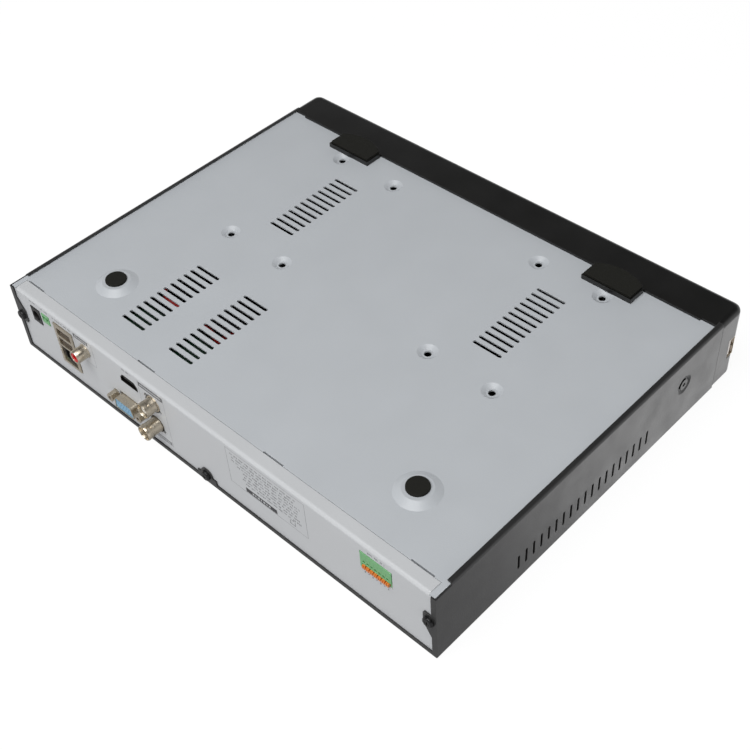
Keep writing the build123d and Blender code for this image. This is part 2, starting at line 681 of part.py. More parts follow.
def make_coils():
    """Two shielded coils of the power supply."""
    coils = []
    for x, inward in ((-138.0, 36.0), (-60.0, 26.0)):
        coil = block(x - 3.5, x + 3.5, inward - 3.5, inward + 3.5, board_top, board_top + 3.6)
        coils.append(chamfer(coil.edges().filter_by(Axis.Z), 1.0))
    return Compound(children=coils)


def make_coin_cell():
    x, inward = -84.0, 33.0
    holder = rod_z(x, inward, 7.4, board_top, board_top + 4.0) - rod_z(x, inward, 6.4, board_top + 1.0, 12)
    cell = rod_z(x, inward, 6.25, board_top + 1.0, board_top + 4.2)
    return holder, cell


def make_drive_sockets():
    """Two data sockets and one power header along the board's front edge."""
    sockets = []
    for x in (-122.0, -44.0):
        socket = block(x - 8.0, x + 8.0, 37.8, 44.6, board_top, board_top + 6.2)
        socket -= block(x - 6.0, x + 6.0, 40.0, 46.0, board_top + 2.0, board_top + 4.6)
        sockets.append(socket)
    for x in (-29.0, 8.0):
        header = block(x - 5, x + 5, 41.6, 46.0, board_top, board_top + 6.0)
        sockets.append(header - block(x - 4, x + 4, 43.0, 47.0, board_top + 1.2, board_top + 5.0))
    for x, mid, out in ((18.0, 30.0, 1), (107.0, 14.0, -1)):
        header = block(x - 4, x + 4, mid - 3.6, mid + 3.6, board_top, board_top + 5.2)
        mouth = x + out * 2
        sockets.append(header - block(mouth - 2.2, mouth + 2.2, mid - 2.8, mid + 2.8, 7.6, 11.2))
    return Compound(children=sockets)


# ---- leads --------------------------------------------------------------------
def bend_radii(points):
    """Largest arc at each corner that leaves a tenth of the shorter run straight."""
    radii = []
    for before, here, after in zip(points, points[1:], points[2:]):
        a = Vector(*here) - Vector(*before)
        b = Vector(*after) - Vector(*here)
        turn = math.radians(a.get_angle(b))
        radii.append(0.45 * min(a.length, b.length) / math.tan(turn / 2))
    return radii


def lead(name, diameter, route):
    """Round lead along a route of (X, distance ahead of the rear face, height over the plate)."""
    points = [(x, rear_y - inward, plate_z + up) for x, inward, up in route]
    radii = bend_radii(points)
    path = FilletPolyline(*points, radius=radii)
    section = Plane(origin=path @ 0, z_dir=path % 0) * Circle(diameter / 2)
    tube = sweep(section, path=path)
    expected = math.pi * diameter ** 2 / 4 * path.length
    print(name, "length", round(path.length, 1), "radii", [round(r, 1) for r in radii],
          "volume", round(tube.volume / expected, 4))
    return tube


def trimmed(tube, plugs):
    """Lead cut off square with the plugs it enters."""
    for plug in plugs.solids():
        tube -= plug
    return tube


def make_drive_leads():
    """Data leads from the board's sockets to the gap between the drives."""
    left = [
        (-122, 53.0, 9.7), (-121, 70.0, 9.2), (-108, 75.0, 5.6), (-98.5, 59.0, 3.2), (-88, 53.0, 3.0),
        (-76, 52.6, 3.0), (-64, 50.8, 3.0), (-46, 50.7, 3.0), (-37.5, 48.3, 3.0), (-24, 57.0, 3.2),
        (-10, 86.0, 3.6), (-5, 112.0, 5.0), (-6, 127.0, 7.0),
    ]
    right = [
        (-44, 53.0, 9.7), (-43, 61.5, 10.4), (-34, 71.0, 10.2), (-16, 77.0, 8.4), (0, 87.0, 5.2),
        (5.5, 106.0, 3.4), (5, 132.0, 3.4), (3, 158.0, 4.6), (4, 174.0, 7.0),
    ]
    return lead("drive_lead_left", 3.4, left), lead("drive_lead_right", 3.4, right)


def make_drive_plugs():
    """Plugs on both ends of the data leads."""
    plugs = []
    for x in (-122.0, -44.0):
        plug = block(x - 5.8, x + 5.8, 44.7, 53.0, board_top + 1.2, board_top + 5.0)
        plug += block(x - 5.4, x + 5.4, 40.4, 44.8, board_top + 2.2, board_top + 4.4)
        plugs.append(plug)
    for x, inward in ((-6.0, 127.0), (4.0, 174.0)):
        plugs.append(block(x - 2.6, x + 2.6, inward, inward + 13.0, 3.4, 10.6))
    return Compound(children=plugs)


def make_power_lead():
    """Lead that feeds both drives, from its header to the middle gap."""
    route = [
        (-29, 51.0, 10.2), (-28, 62.0, 10.8), (-18, 70.0, 12.4), (-3, 73.0, 11.5), (9, 82.0, 7.0),
        (12.5, 102.0, 4.6), (12.6, 126.0, 4.2), (12.4, 152.0, 4.2), (11.5, 178.0, 5.0), (10, 192.0, 7.0),
    ]
    tube = lead("drive_power_lead", 4.2, route)
    plug = block(-32.8, -25.2, 43.2, 51.0, board_top + 1.4, board_top + 4.8)
    end = block(6.4, 13.4, 192.0, 205.0, 2.6, 11.4)
    return tube, Compound(children=[plug, end])


def make_front_lead():
    """Lead from the main board through the front wall to the front board."""
    route = [
        (8, 51.0, 9.4), (8.5, 61.0, 11.5), (3, 76.0, 17.5), (-7, 98.0, 19.0), (-6, 126.0, 18.0),
        (-3, 156.0, 17.0), (-1, 184.0, 17.0), (-4, 209.0, 18.0), (-18, 222.0, 22.0), (-40, 225.0, 26.5),
        (-58, 232.9, 30.7),
    ]
    return lead("front_lead", 3.0, route)


def make_terminal_lead():
    """Lead from the main board to the terminal board."""
    route = [
        (23, 30.0, 9.6), (36, 31.0, 9.6), (54, 35.0, 6.6), (72, 33.0, 5.0), (88, 22.0, 6.6),
        (102, 14.0, 9.6),
    ]
    return lead("terminal_lead", 2.6, route)


def make_lead_ends():
    """Plugs of the front lead and the terminal lead."""
    ends = [
        block(4.2, 11.8, 43.2, 51.0, board_top + 1.4, board_top + 4.8),
        block(-65.0, -51.0, 233.0, 234.1, 28.2, 33.2),
        block(18.4, 23.0, 27.4, 32.6, 7.8, 11.0),
        block(102.0, 106.6, 11.4, 16.6, 7.8, 11.0),
    ]
    return Compound(children=ends)


# ---- feet and fasteners --------------------------------------------------------
def make_rear_feet():
    feet = []
    for x in (-rear_foot_x, rear_foot_x):
        pad = rod_z(x, rear_foot_in, rear_foot_r, -foot_height, rear_foot_thick - foot_height)
        rim = pad.edges().filter_by(GeomType.CIRCLE).sort_by(Axis.Z)[0]
        pad = fillet(rim, 0.5)
        feet.append(pad + rod_z(x, rear_foot_in, 2.0, rear_foot_thick - foot_height, 0.2))
    return Compound(children=feet)


def make_front_foot_pads():
    return Compound(children=[foot_solid(side, 0.0, -foot_height, -block_drop) for side in (-1, 1)])


def make_rear_screws():
    screws = [pan_screw_y(x, up, -cover_sheet - 0.1, 3.2, 1.9, 1.45, 5.0) for x, up in ear_screws()]
    return Compound(children=screws)


def make_side_screws():
    screws = []
    for side in (-1, 1):
        seat = side * (case_width / 2 - 1.0)
        head = rod_x(side_screw_in, side_screw_up, 3.4, seat, seat + side * 0.9)
        cross = rod_x(side_screw_in, side_screw_up, 1.2, seat + side * 0.4, seat + side)
        shank = rod_x(side_screw_in, side_screw_up, 1.25, seat - side * 1.4, seat)
        screws.append(head - cross + shank)
    return Compound(children=screws)


def make_front_board_screws():
    screws = []
    for x in front_board_posts():
        head = rod_y(x, 40.5, 2.4, 236.1, 237.6)
        screws.append(head - rod_y(x, 40.5, 1.0, 236, 236.8) + rod_y(x, 40.5, 1.1, 237.6, 244))
    return Compound(children=screws)


# ---- build --------------------------------------------------------------------
os.makedirs("parts", exist_ok=True)

side_shell, side_tongue = make_side_usb()
dc_body, dc_pin = make_dc_jack()
stack_shell, stack_tongues, network_insert = make_port_stack()
rca_shell, rca_housing, rca_insulator = make_rca()
hdmi_shell, hdmi_tongue, hdmi_foot = make_hdmi()
vga_shell, vga_insert, vga_base, vga_nuts = make_vga()
bnc_jacks, bnc_cores, bnc_block = make_bnc()
terminal_body, terminal_levers = make_terminal()
cell_holder, coin_cell = make_coin_cell()
lead_left, lead_right = make_drive_leads()
power_lead, power_plugs = make_power_lead()
drive_plugs = Compound(children=[make_drive_plugs(), power_plugs])
lead_ends = make_lead_ends()

nodes = {
    "bottom_chassis": make_bottom_chassis(),
    "rear_panel": make_rear_panel(),
    "top_cover": make_top_cover(),
    "front_bezel": make_front_bezel(),
    "front_fascia": make_front_fascia(),
    "infrared_window": make_ir_window(),
    "light_pipes": make_light_pipes(),
    "power_button": make_power_button(),
    "front_board": make_front_board(),
    "front_board_parts": make_front_board_parts(),
    "front_board_screws": make_front_board_screws(),
    "side_usb_shell": side_shell,
    "side_usb_tongue": side_tongue,
    "front_foot_pads": make_front_foot_pads(),
    "rear_feet": make_rear_feet(),
    "cover_screws_rear": make_rear_screws(),
    "cover_screws_side": make_side_screws(),
    "main_board": make_main_board(),
    "terminal_board": make_terminal_board(),
    "board_standoffs": make_standoffs(),
    "board_screws": make_board_screws(),
    "dc_jack_body": dc_body,
    "dc_jack_pin": dc_pin,
    "pair_terminal": make_pair_terminal(),
    "port_stack_shell": stack_shell,
    "port_stack_tongues": stack_tongues,
    "network_insert": network_insert,
    "rca_shell": rca_shell,
    "rca_housing": rca_housing,
    "rca_insulator": rca_insulator,
    "hdmi_shell": hdmi_shell,
    "hdmi_core": Compound(children=[hdmi_tongue, hdmi_foot]),
    "vga_shell": vga_shell,
    "vga_insert": vga_insert,
    "vga_base": vga_base,
    "vga_jackscrews": vga_nuts,
    "bnc_jacks": bnc_jacks,
    "bnc_cores": bnc_cores,
    "bnc_block": bnc_block,
    "terminal_body": terminal_body,
    "heat_sink": make_heat_sink(),
    "board_chips": make_chips(),
    "capacitors": make_capacitors(),
    "coils": make_coils(),
    "coin_cell_holder": cell_holder,
    "coin_cell": coin_cell,
    "board_sockets": make_drive_sockets(),
    "drive_leads": Compound(children=[trimmed(lead_left, drive_plugs), trimmed(lead_right, drive_plugs)]),
    "drive_power_lead": trimmed(power_lead, drive_plugs),
    "drive_plugs": drive_plugs,
    "front_lead": trimmed(make_front_lead(), lead_ends),
    "terminal_lead": trimmed(make_terminal_lead(), lead_ends),
    "lead_plugs": lead_ends,
}
for number, lever in enumerate(terminal_levers, start=1):
    nodes[f"terminal_lever_{number}"] = lever

for name, shape in nodes.items():
    save(name, shape)
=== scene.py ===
import json
import math
import random

import bmesh
import bpy
from mathutils import Matrix, Vector


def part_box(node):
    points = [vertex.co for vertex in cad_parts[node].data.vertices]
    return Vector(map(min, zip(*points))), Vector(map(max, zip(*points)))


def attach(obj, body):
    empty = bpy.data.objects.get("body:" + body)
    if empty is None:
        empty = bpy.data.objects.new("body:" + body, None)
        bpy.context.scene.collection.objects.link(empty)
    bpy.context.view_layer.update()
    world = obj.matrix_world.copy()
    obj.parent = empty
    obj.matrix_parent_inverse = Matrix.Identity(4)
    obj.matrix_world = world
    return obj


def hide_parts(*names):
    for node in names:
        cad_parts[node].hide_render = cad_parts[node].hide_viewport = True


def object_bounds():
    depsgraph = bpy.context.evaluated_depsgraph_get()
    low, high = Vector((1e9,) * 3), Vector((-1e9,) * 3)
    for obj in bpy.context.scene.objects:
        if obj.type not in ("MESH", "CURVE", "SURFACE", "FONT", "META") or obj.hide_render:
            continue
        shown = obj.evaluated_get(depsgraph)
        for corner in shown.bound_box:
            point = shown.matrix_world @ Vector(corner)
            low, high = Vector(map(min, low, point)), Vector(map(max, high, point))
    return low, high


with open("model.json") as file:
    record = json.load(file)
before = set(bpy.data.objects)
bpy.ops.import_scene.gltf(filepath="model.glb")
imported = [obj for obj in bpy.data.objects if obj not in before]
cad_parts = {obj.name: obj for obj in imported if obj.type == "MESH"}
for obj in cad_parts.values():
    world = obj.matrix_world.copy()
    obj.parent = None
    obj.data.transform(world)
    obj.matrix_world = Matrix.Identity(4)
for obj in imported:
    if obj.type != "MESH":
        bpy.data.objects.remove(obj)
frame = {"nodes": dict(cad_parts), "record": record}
cad_low, cad_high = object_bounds()

MM = 0.001
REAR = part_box("rear_panel")[1].y / MM          # rear face of the panel
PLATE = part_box("bottom_chassis")[0].z / MM + 2.8   # outer face of the bottom plate
BEVEL_ANGLE = 40       # degrees; flatter edges stay as they are
rng = random.Random(7)


# ---- colour and materials ----------------------------------------------------------
def rgb(r, g, b):
    """0-255 display colour as a linear colour."""
    def linear(v):
        v /= 255
        return v / 12.92 if v <= 0.04045 else ((v + 0.055) / 1.055) ** 2.4
    return (linear(r), linear(g), linear(b), 1.0)


def scaled(colour, k):
    return tuple(min(1.0, c * k) for c in colour[:3]) + (1.0,)


def surface(name, colour, rough, metal=0.0, mottle=0.05, mottle_size=0.02, rough_var=0.06,
            grain=0.1, grain_size=0.0006, wear=0.0, wear_colour=None, coat=0.0, ior=1.5,
            round_edges=0.0002, stretch=(1, 1, 1), specular=0.5):
    """Procedural finish: patchy colour and roughness, fine grain, rounded and worn edges."""
    m = bpy.data.materials.new(name)
    m.use_nodes = True
    m.diffuse_color = colour
    nt = m.node_tree
    n, link = nt.nodes, nt.links.new
    p = n["Principled BSDF"]
    p.inputs["Metallic"].default_value = metal
    p.inputs["IOR"].default_value = ior
    p.inputs["Specular IOR Level"].default_value = specular
    p.inputs["Coat Weight"].default_value = coat
    p.inputs["Coat Roughness"].default_value = 0.08
    place = n.new("ShaderNodeTexCoord")
    mapping = n.new("ShaderNodeMapping")
    mapping.inputs["Scale"].default_value = stretch
    link(place.outputs["Object"], mapping.inputs["Vector"])

    def noise(size, detail):
        t = n.new("ShaderNodeTexNoise")
        t.inputs["Scale"].default_value = 1.0 / size
        t.inputs["Detail"].default_value = detail
        link(mapping.outputs["Vector"], t.inputs["Vector"])
        return t

    patches = noise(mottle_size, 5)
    fine = noise(grain_size, 3)
    ramp = n.new("ShaderNodeMix")
    ramp.data_type = "RGBA"
    ramp.inputs["A"].default_value = scaled(colour, 1 - mottle)
    ramp.inputs["B"].default_value = scaled(colour, 1 + mottle)
    link(patches.outputs["Fac"], ramp.inputs["Factor"])
    tone = ramp.outputs["Result"]

    spread = n.new("ShaderNodeMapRange")
    spread.inputs["From Min"].default_value = 0.3
    spread.inputs["From Max"].default_value = 0.7
    spread.inputs["To Min"].default_value = max(0.02, rough - rough_var)
    spread.inputs["To Max"].default_value = min(1.0, rough + rough_var)
    link(patches.outputs["Fac"], spread.inputs["Value"])
    link(spread.outputs["Result"], p.inputs["Roughness"])

    soft = n.new("ShaderNodeBevel")
    soft.samples = 4
    soft.inputs["Radius"].default_value = round_edges
    bump = n.new("ShaderNodeBump")
    bump.inputs["Strength"].default_value = grain
    bump.inputs["Distance"].default_value = grain_size * 0.25
    link(fine.outputs["Fac"], bump.inputs["Height"])
    link(soft.outputs["Normal"], bump.inputs["Normal"])
    link(bump.outputs["Normal"], p.inputs["Normal"])

    if wear:
        shape = n.new("ShaderNodeNewGeometry")
        dot = n.new("ShaderNodeVectorMath")
        dot.operation = "DOT_PRODUCT"
        edge = n.new("ShaderNodeBevel")
        edge.samples = 4
        edge.inputs["Radius"].default_value = round_edges * 2
        link(edge.outputs["Normal"], dot.inputs[0])
        link(shape.outputs["Normal"], dot.inputs[1])
        rub = n.new("ShaderNodeMapRange")
        rub.inputs["From Min"].default_value = 0.97
        rub.inputs["From Max"].default_value = 0.80
        rub.inputs["To Min"].default_value = 0.0
        rub.inputs["To Max"].default_value = wear
        link(dot.outputs["Value"], rub.inputs["Value"])
        chips = n.new("ShaderNodeMath")
        chips.operation = "MULTIPLY"
        link(rub.outputs["Result"], chips.inputs[0])
        link(patches.outputs["Fac"], chips.inputs[1])
        over = n.new("ShaderNodeMix")
        over.data_type = "RGBA"
        over.inputs["B"].default_value = wear_colour or scaled(colour, 2.2)
        link(chips.outputs["Value"], over.inputs["Factor"])
        link(tone, over.inputs["A"])
        tone = over.outputs["Result"]
    link(tone, p.inputs["Base Color"])
    return m


FINISH = {
    "chassis_steel": surface("chassis_steel", rgb(186, 190, 194), 0.42, mottle=0.03,
                             mottle_size=0.03, rough_var=0.05, grain=0.25, grain_size=0.0009, wear=0.5,
                             wear_colour=rgb(215, 217, 219), round_edges=0.0003),
    # panel_steel is a lighter copy of chassis_steel: painted light, standing in for the light that falls on
    # the upright rear face; the panel's flange under the plate is lightened with it
    "panel_steel": surface("panel_steel", rgb(196, 198, 200), 0.42, mottle=0.025, mottle_size=0.03,
                           grain=0.25, grain_size=0.0009, wear=0.5, wear_colour=rgb(222, 223, 224),
                           round_edges=0.0003),
    "cover_paint": surface("cover_paint", rgb(38, 38, 38), 0.36, mottle=0.06, mottle_size=0.015,
                           rough_var=0.04, grain=0.35, grain_size=0.0008, wear=0.35,
                           wear_colour=rgb(92, 90, 88), ior=1.55, round_edges=0.0003),
    "bezel_plastic": surface("bezel_plastic", rgb(15, 15, 14), 0.33, mottle=0.05, rough_var=0.04,
                             grain=0.3, grain_size=0.0005, wear=0.3, wear_colour=rgb(66, 66, 64),
                             ior=1.52),
    "fascia_gloss": surface("fascia_gloss", rgb(14, 14, 15), 0.09, mottle=0.04, rough_var=0.03,
                            grain=0.03, grain_size=0.002, coat=0.6),
    "smoked_window": surface("smoked_window", rgb(36, 10, 12), 0.06, mottle=0.05, rough_var=0.02,
                             grain=0.02, coat=0.8),
    "clear_guide": surface("clear_guide", rgb(196, 204, 208), 0.15, mottle=0.04, grain=0.05),
    "circuit_board": surface("circuit_board", rgb(10, 40, 24), 0.35, mottle=0.25, mottle_size=0.004,
                             grain=0.4, grain_size=0.0012, coat=0.3),
    "black_component": surface("black_component", rgb(26, 26, 27), 0.5, grain=0.5, grain_size=0.0003),
    "zinc_screw": surface("zinc_screw", rgb(178, 176, 166), 0.3, metal=1.0, mottle=0.12,
                          mottle_size=0.002, grain=0.2, grain_size=0.0004),
    "connector_nickel": surface("connector_nickel", rgb(196, 186, 168), 0.3, metal=0.9, mottle=0.1,
                                mottle_size=0.003, rough_var=0.08, grain=0.15, grain_size=0.0004,
                                wear=0.4, wear_colour=rgb(240, 230, 214)),
    # tongue_beige is a darkened copy of tongue_white for the rear port tongues: painted shade, standing in
    # for the shade inside the sockets
    "tongue_beige": surface("tongue_beige", rgb(84, 73, 61), 0.5, mottle=0.08, grain=0.15),
    "tongue_white": surface("tongue_white", rgb(240, 232, 226), 0.42, mottle=0.03, grain=0.1),
    "foot_rubber": surface("foot_rubber", rgb(26, 26, 22), 0.72, mottle=0.14, mottle_size=0.004,
                           grain=0.9, grain_size=0.0007, rough_var=0.1, wear=0.3,
                           wear_colour=rgb(66, 60, 56), specular=0.2),
    "black_screw": surface("black_screw", rgb(24, 24, 25), 0.34, metal=0.4, mottle=0.15,
                           mottle_size=0.001, grain=0.3, grain_size=0.0003, wear=0.7,
                           wear_colour=rgb(120, 116, 110)),
    "brass_post": surface("brass_post", rgb(196, 158, 92), 0.28, metal=1.0, mottle=0.08,
                          mottle_size=0.003, grain=0.2),
    "black_connector": surface("black_connector", rgb(22, 22, 22), 0.42, mottle=0.08, grain=0.3,
                               grain_size=0.0004, wear=0.2),
    "contact_metal": surface("contact_metal", rgb(206, 178, 112), 0.22, metal=1.0, mottle=0.08,
                             mottle_size=0.001, grain=0.1),
    "terminal_green": surface("terminal_green", rgb(118, 176, 122), 0.44, mottle=0.06,
                              mottle_size=0.003, grain=0.2, grain_size=0.0004, wear=0.2),
    "insulator_red": surface("insulator_red", rgb(204, 22, 20), 0.35, mottle=0.05, grain=0.1),
    "black_metal": surface("black_metal", rgb(30, 28, 26), 0.34, metal=0.6, mottle=0.1,
                           mottle_size=0.002, grain=0.2),
    "insulator_blue": surface("insulator_blue", rgb(128, 172, 200), 0.42, mottle=0.05, grain=0.15),
    "insulator_white": surface("insulator_white", rgb(228, 224, 214), 0.4, mottle=0.03, grain=0.1),
    "sink_aluminium": surface("sink_aluminium", rgb(166, 168, 170), 0.34, metal=1.0, grain=0.3,
                              stretch=(1, 12, 1)),
    "can_aluminium": surface("can_aluminium", rgb(52, 56, 70), 0.3, mottle=0.08, grain=0.1, coat=0.3),
    "coil_grey": surface("coil_grey", rgb(66, 66, 68), 0.55, grain=0.6, grain_size=0.0004),
    "cell_steel": surface("cell_steel", rgb(204, 204, 200), 0.22, metal=1.0, stretch=(1, 20, 1)),
    "socket_cream": surface("socket_cream", rgb(220, 214, 196), 0.42, mottle=0.04, grain=0.15),
    "lead_red": surface("lead_red", rgb(120, 16, 13), 0.4, mottle=0.06, mottle_size=0.01, grain=0.25),
    "lead_black": surface("lead_black", rgb(24, 24, 24), 0.5, mottle=0.1, grain=0.6,
                          grain_size=0.0009),
    "lead_grey": surface("lead_grey", rgb(120, 120, 122), 0.45, mottle=0.06, grain=0.25),
    "lever_orange": surface("lever_orange", rgb(226, 128, 48), 0.4, mottle=0.08, mottle_size=0.002,
                            grain=0.2, grain_size=0.0004),
}
FINISH["tin_plate"] = surface("tin_plate", rgb(214, 202, 190), 0.4, metal=0.35, mottle=0.05,
                              mottle_size=0.002, grain=0.15, grain_size=0.0004)
INK_DARK = surface("ink_dark", rgb(62, 62, 64), 0.55, mottle=0.18, mottle_size=0.0012, grain=0.1)
INK_MID = surface("ink_mid", rgb(118, 119, 122), 0.55, mottle=0.15, mottle_size=0.0012, grain=0.1)
INK_SOFT = surface("ink_soft", rgb(138, 139, 142), 0.55, mottle=0.1, mottle_size=0.0012, grain=0.1)
INK_LIGHT = surface("ink_light", rgb(198, 200, 202), 0.5, mottle=0.05, mottle_size=0.002, grain=0.1)
LAMP_GREEN = surface("lamp_green", rgb(66, 78, 50), 0.2, mottle=0.1, mottle_size=0.001, coat=0.5)
LAMP_OLIVE = surface("lamp_olive", rgb(96, 86, 50), 0.2, mottle=0.1, mottle_size=0.001, coat=0.5)
LAMP_BLUE = surface("lamp_blue", rgb(120, 170, 220), 0.15, mottle=0.1, mottle_size=0.001, coat=0.5)


def smooth_by_angle(obj, degrees=32):
    mesh = obj.data
    for poly in mesh.polygons:
        poly.use_smooth = True
    mesh.set_sharp_from_angle(angle=math.radians(degrees))


slots = {s["node"]: s["material_slot"] for s in frame["record"]["subparts"]}
for name, node in frame["nodes"].items():
    node.data.materials.clear()
    node.data.materials.append(FINISH[slots[name]])
    smooth_by_angle(node)

pads = frame["nodes"]["front_foot_pads"].modifiers.new("soft_corners", "BEVEL")
pads.width = 0.8 * MM
pads.segments = 3
pads.limit_method = "ANGLE"
pads.angle_limit = math.radians(BEVEL_ANGLE)


# ---- mesh helpers ------------------------------------------------------------------
def at(x, inward, up):
    """Millimetres from the middle, ahead of the rear face and over the bottom plate, as a place."""
    return Vector((x * MM, (REAR - inward) * MM, (PLATE + up) * MM))


def finish_piece(name, bm, material, body="case", bevel=0.0):
    bmesh.ops.recalc_face_normals(bm, faces=bm.faces)
    mesh = bpy.data.meshes.new(name)
    bm.to_mesh(mesh)
    bm.free()
    obj = bpy.data.objects.new(name, mesh)
    bpy.context.scene.collection.objects.link(obj)
    obj.data.materials.append(material)
    if bevel:
        mod = obj.modifiers.new("edges", "BEVEL")
        mod.width = bevel * MM
        mod.segments = 2
        mod.limit_method = "ANGLE"
        mod.angle_limit = math.radians(BEVEL_ANGLE)
    smooth_by_angle(obj)
    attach(obj, body)
    return obj


def add_box(bm, x0, x1, in0, in1, up0, up1):
    a, b = at(x0, in0, up0), at(x1, in1, up1)
    low = Vector(map(min, a, b))
    high = Vector(map(max, a, b))
    made = bmesh.ops.create_cube(bm, size=1.0)["verts"]
    for v in made:
        v.co = Vector((low[i] + (v.co[i] + 0.5) * (high[i] - low[i])) for i in range(3))


def add_ring(bm, centre, axis, profile, steps=48):
    """Closed lathe: profile is (radius, distance along axis) pairs in mm, walked round once."""
    axis = Vector(axis).normalized()
    side = axis.orthogonal().normalized()
    other = axis.cross(side)
    rings = []
    for k in range(steps):
        a = 2 * math.pi * k / steps
        out = side * math.cos(a) + other * math.sin(a)
        rings.append([bm.verts.new(centre + (out * r + axis * d) * MM) for r, d in profile])
    count = len(profile)
    for k in range(steps):
        here, following = rings[k], rings[(k + 1) % steps]
        for i in range(count):
            j = (i + 1) % count
            corners = [here[i], here[j], following[j], following[i]]
            if profile[i][0] < 1e-6 and profile[j][0] < 1e-6:
                continue
            bm.faces.new(corners)
    bmesh.ops.remove_doubles(bm, verts=bm.verts, dist=1e-7)


def boxes(name, rows, material, bevel=0.0):
    bm = bmesh.new()
    for row in rows:
        add_box(bm, *row)
    return finish_piece(name, bm, material, bevel=bevel)


PRINT = 0.02   # ink stands this far off the panel


def printed(x0, x1, up0, up1):
    return (x0, x1, -PRINT, 0.05, up0, up1)


def text_row(x0, x1, up, high):
    """A line of small strokes where the real panel has a line of print."""
    out, x = [], x0
    while x < x1:
        word = rng.uniform(1.4, 4.2)
        end = min(x + word, x1)
        while x < end:
            wide = rng.uniform(0.35, 0.7)
            tall = high * rng.choice((0.6, 0.8, 1.0))
            out.append(printed(x, min(x + wide, end), up, up + tall))
            x += wide + rng.uniform(0.25, 0.45)
        x += 0.8
    return out


def outline(x0, x1, up0, up1, wide=0.22):
    return [
        printed(x0, x1, up0, up0 + wide), printed(x0, x1, up1 - wide, up1),
        printed(x0, x0 + wide, up0 + wide, up1 - wide), printed(x1 - wide, x1, up0 + wide, up1 - wide),
    ]


# ---- marks printed on the rear panel -----------------------------------------------
LABEL_LEFT, LABEL_RIGHT = 24.0, 75.5
ROW_FIRST, ROW_STEP = 6.0, 2.45
ROW_INDENTS = (0.5, 1.5, 1.0, 5.0, 9.0, 9.5, 8.0, 10.0)
rating = []
for index, indent in enumerate(ROW_INDENTS):
    up = ROW_FIRST + index * ROW_STEP
    rating += text_row(LABEL_LEFT + indent, LABEL_RIGHT - rng.uniform(0, 7), up, 1.25)
# a small generic box drawn with four bars, where the label has a symbol
symbol = ((66.4, 25.4, 0.4, 3.0), (69.8, 25.4, 0.4, 3.0), (66.2, 28.0, 4.2, 0.4), (67.4, 24.6, 1.8, 0.5))
for left, low, wide, tall in symbol:
    rating.append(printed(left, left + wide, low, low + tall))
boxes("rating_label_rows", rating, INK_MID)
boxes("rating_label_frame", outline(21.3, 79.0, 3.7, 30.6), INK_SOFT)
boxes("rating_label_bar", [printed(33.3, 56.6, 26.6, 29.9)], INK_DARK)
bar_spans = (
    (38.2, 39.4), (40.2, 41.0), (42.0, 43.6), (44.4, 45.2), (46.2, 47.8), (48.6, 49.4), (50.2, 51.6),
)
boxes("rating_label_bar_marks", [(x, y, -PRINT * 2, 0, 27.6, 28.9) for x, y in bar_spans],
      INK_LIGHT)

bars = [printed(-106.6, -93.6, 3.4, 6.0), printed(-48.8, -28.8, 3.6, 6.7), printed(-43.8, -29.4, 38.8, 41.2)]
boxes("connector_bars", bars, INK_MID)
rims = outline(-106.6, -93.6, 3.4, 6.0, 0.45) + outline(-48.8, -28.8, 3.6, 6.7, 0.5)
boxes("connector_bar_rims", [(x0, x1, -PRINT * 2, 0, u0, u1) for x0, x1, _, _, u0, u1 in rims],
      INK_DARK)
strokes = []
for x0, x1, up in ((-105.6, -94.6, 4.2), (-47.6, -30.0, 4.6), (-42.8, -30.4, 39.5)):
    x = x0
    while x < x1:
        wide = rng.uniform(0.35, 0.9)
        strokes.append((x, min(x + wide, x1), -PRINT * 2, 0, up, up + 1.1))
        x += wide + 0.35
boxes("connector_bar_marks", strokes, INK_LIGHT)

TERMINAL_X, TERMINAL_PITCH, WAYS = 126.6, 2.54, 7
fine = []
fine += text_row(-62.6, -55.2, 2.6, 1.2)
fine += text_row(121.6, 132.4, 3.6, 1.4)
fine += text_row(-126.4, -117.2, 3.2, 1.3)
fine += text_row(-115.6, -109.4, 3.2, 1.3)
fine += text_row(-148.6, -141.4, 2.6, 1.1)
fine += text_row(-137.6, -131.0, 3.0, 1.1)
fine += text_row(-66.5, -58.0, 38.4, 1.2)
for index in range(WAYS):
    x = TERMINAL_X + (index - 3) * TERMINAL_PITCH
    tall = (1.5, 0.9)[index % 2]
    fine.append(printed(x - 0.28, x + 0.28, 20.6, 20.6 + tall))
boxes("fine_print", fine, INK_MID)
frames = outline(-106.8, -90.0, 3.0, 20.6, 0.16) + outline(-49.6, -28.4, 3.2, 41.8, 0.16)
boxes("connector_frames", frames, INK_SOFT)


# ---- rear connectors ---------------------------------------------------------------
REARWARD = Vector((0, 1, 0))
BNC_X, BNC_UPS = -39.0, (14.3, 30.0)
SHORTER = 2.6          # how much less far the jack nearest the bottom plate stands out
bm = bmesh.new()
for up in BNC_UPS:
    barrel = [
        (4.6, -0.1), (4.6, 1.1), (4.5, 1.4), (4.5, 6.6), (4.7, 6.8), (4.8, 7.1), (4.8, 9.5), (4.55, 9.95),
        (4.25, 9.95), (4.1, 9.6), (4.1, 1.0), (0.02, 1.0), (0.02, -1.9),
    ]
    if up == BNC_UPS[0]:
        barrel = [(min(r, 4.65), d if d < 2 else d - SHORTER) for r, d in barrel]
        base = [(5.3, -1.9), (5.3, -0.25), (5.15, -0.12)]
    else:
        base = [(4.8, -1.9)]
    add_ring(bm, at(BNC_X, 0, up), REARWARD, base + barrel, 64)
    for side in (-1, 1):
        turn = math.radians(-54)
        out = Vector((side * math.cos(turn), 0, side * math.sin(turn)))
        pin = [(0.95, 4.2), (0.95, 5.75), (0.75, 5.95), (0.02, 5.95), (0.02, 4.2)]
        add_ring(bm, at(BNC_X, -3.6 if up == BNC_UPS[0] else -5.2, up), out, pin, 24)
barrels = finish_piece("bnc_barrels", bm, FINISH["connector_nickel"])
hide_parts("bnc_jacks")

